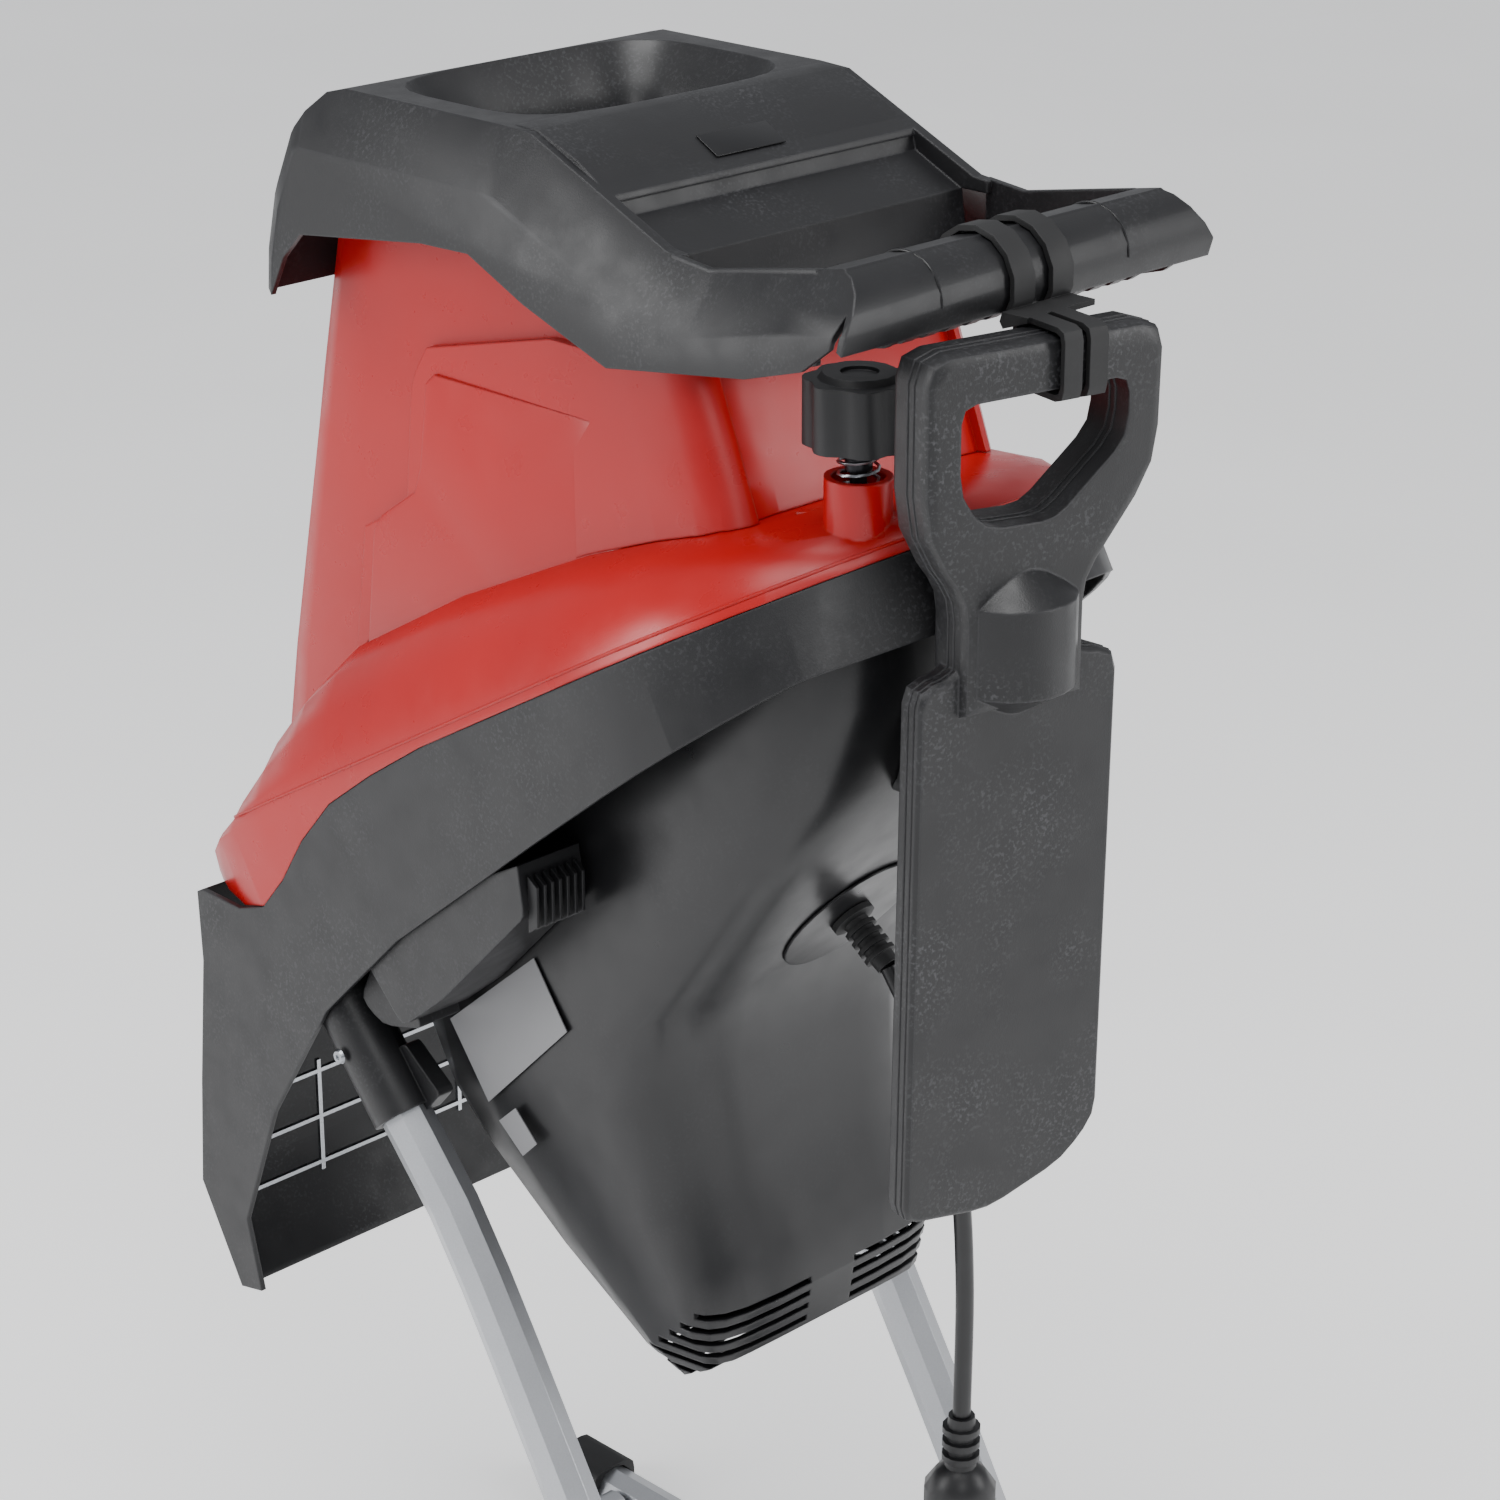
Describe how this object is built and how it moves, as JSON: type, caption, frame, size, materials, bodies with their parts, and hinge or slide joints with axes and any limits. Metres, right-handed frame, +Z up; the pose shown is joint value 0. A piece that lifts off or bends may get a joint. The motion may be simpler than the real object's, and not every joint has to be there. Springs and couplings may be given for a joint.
{
  "type": "wood chipper",
  "caption": "Electric knife garden shredder on a wheeled tube stand, with a hinged feed tower and hopper, a side chute hood, a hanging pusher, a lock screw and a supply cable with plug.",
  "frame": {"origin": "centre of the footprint on the ground", "axes": "+Z up, -Y the discharge side, +Y the handle and cable side, +X the operator's left flank seen from behind"},
  "size_m": [0.3888, 0.5229, 0.952],
  "materials": {
    "red_shell": "glossy moulded",
    "black_shell": "satin fine grain",
    "black_fittings": "matt moulded",
    "silver_tube": "silver powder coat",
    "steel": "zinc plated",
    "tool_steel": "ground",
    "brass_nut": "turned",
    "copper_winding": "varnished copper",
    "soft_rubber": "matt",
    "grey_label": "printed film",
    "green_button": "glossy",
    "red_button": "glossy"
  },
  "bodies": {
    "base": {"base_shell": "black_shell", "chute_guard": "steel", "motor_housing": "black_shell", "label_large": "grey_label", "label_small": "grey_label", "bag_hook_left": "black_fittings", "bag_hook_right": "black_fittings", "switch_box": "black_fittings", "gland_plate": "black_shell", "cord_gland": "soft_rubber", "supply_cord": "soft_rubber", "plug": "soft_rubber", "tube_socket_left": "black_shell", "tube_socket_right": "black_shell", "socket_screw_left": "steel", "socket_screw_right": "steel", "leg_tube_left": "silver_tube", "leg_tube_right": "silver_tube", "front_foot_bar": "silver_tube", "foot_cap_left": "soft_rubber", "foot_cap_right": "soft_rubber", "axle_bracket_left": "black_fittings", "axle_bracket_right": "black_fittings", "axle": "steel", "hub_cap_left": "black_shell", "hub_cap_right": "black_shell", "hinge_pin": "steel", "lock_nut": "brass_nut", "spindle_bearing": "steel", "stator": "tool_steel", "motor_bearing_upper": "steel", "motor_bearing_lower": "steel", "motor_mount": "black_fittings", "gear_plate": "black_fittings", "safety_switch": "black_fittings"},
    "lid": {"feed_hopper": "black_shell", "handle_insert": "black_fittings", "feed_throat": "black_fittings", "feed_tower": "red_shell", "dome_cover": "red_shell"},
    "pusher_set": {"pusher_clip": "soft_rubber", "pusher": "black_shell"},
    "lock_carrier": {"lock_spring": "steel"},
    "lock_turn": {"lock_knob": "black_shell", "lock_screw": "steel"},
    "cutter": {"knife_disc": "steel", "knife_a": "tool_steel", "knife_b": "tool_steel", "knife_screws_a": "steel", "knife_screws_b": "steel", "spindle": "steel", "spindle_gear": "steel"},
    "armature": {"motor_shaft": "steel", "rotor": "copper_winding", "cooling_fan": "black_fittings"},
    "wheel_l": {"wheel_left": "black_fittings"},
    "wheel_r": {"wheel_right": "black_fittings"},
    "button_on": {"switch_on": "green_button"},
    "button_off": {"switch_off": "red_button"},
    "button_reset": {"reset_button": "black_fittings"}
  },
  "joints": [
    {"name": "lid_hinge", "type": "hinge", "parent": "base", "child": "lid", "pos_m": [0, -0.2524, 0.497], "axis": [1, 0, 0], "range_deg": [0, 75]},
    {"name": "pusher_swing", "type": "hinge", "parent": "lid", "child": "pusher_set", "pos_m": [0, 0.1886, 0.902], "axis": [1, 0, 0], "range_deg": [0, 56]},
    {"name": "lock_travel", "type": "slide", "parent": "lid", "child": "lock_carrier", "axis": [0, 0, 1], "range_m": [-0.01, 0], "deforming": ["lock_spring"]},
    {"name": "lock_turn", "type": "hinge", "parent": "lock_carrier", "child": "lock_turn", "pos_m": [0.058, 0.1566, 0.84], "axis": [0, 0, 1], "range_deg": [-2880, 0]},
    {"name": "cutter_spin", "type": "hinge", "parent": "base", "child": "cutter", "pos_m": [0, -0.12347, 0.588], "axis": [0, -0.5, 0.866], "continuous": true},
    {"name": "motor_spin", "type": "hinge", "parent": "base", "child": "armature", "pos_m": [0, -0.09402, 0.605], "axis": [0, -0.5, 0.866], "continuous": true},
    {"name": "wheel_left_spin", "type": "hinge", "parent": "base", "child": "wheel_l", "pos_m": [-0.166, 0.1546, 0.075], "axis": [1, 0, 0], "continuous": true},
    {"name": "wheel_right_spin", "type": "hinge", "parent": "base", "child": "wheel_r", "pos_m": [0.166, 0.1546, 0.075], "axis": [1, 0, 0], "continuous": true},
    {"name": "switch_on_press", "type": "slide", "parent": "base", "child": "button_on", "axis": [0, -1, 0], "range_m": [0, 0.0025], "stiffness_N_per_m": 300, "springref_m": -0.001},
    {"name": "switch_off_press", "type": "slide", "parent": "base", "child": "button_off", "axis": [0, -1, 0], "range_m": [0, 0.0025], "stiffness_N_per_m": 300, "springref_m": -0.001},
    {"name": "reset_press", "type": "slide", "parent": "base", "child": "button_reset", "axis": [0, -1, 0], "range_m": [0, 0.0025], "stiffness_N_per_m": 300, "springref_m": -0.001}
  ],
  "couplings": [
    {"joint": "motor_spin", "follows": "cutter_spin", "ratio": -3},
    {"joint": "lock_travel", "follows": "lock_turn", "m_per_rad": 0.000198},
    {"joint": "pusher_swing", "follows": "lid_hinge", "ratio": 0.74}
  ]
}
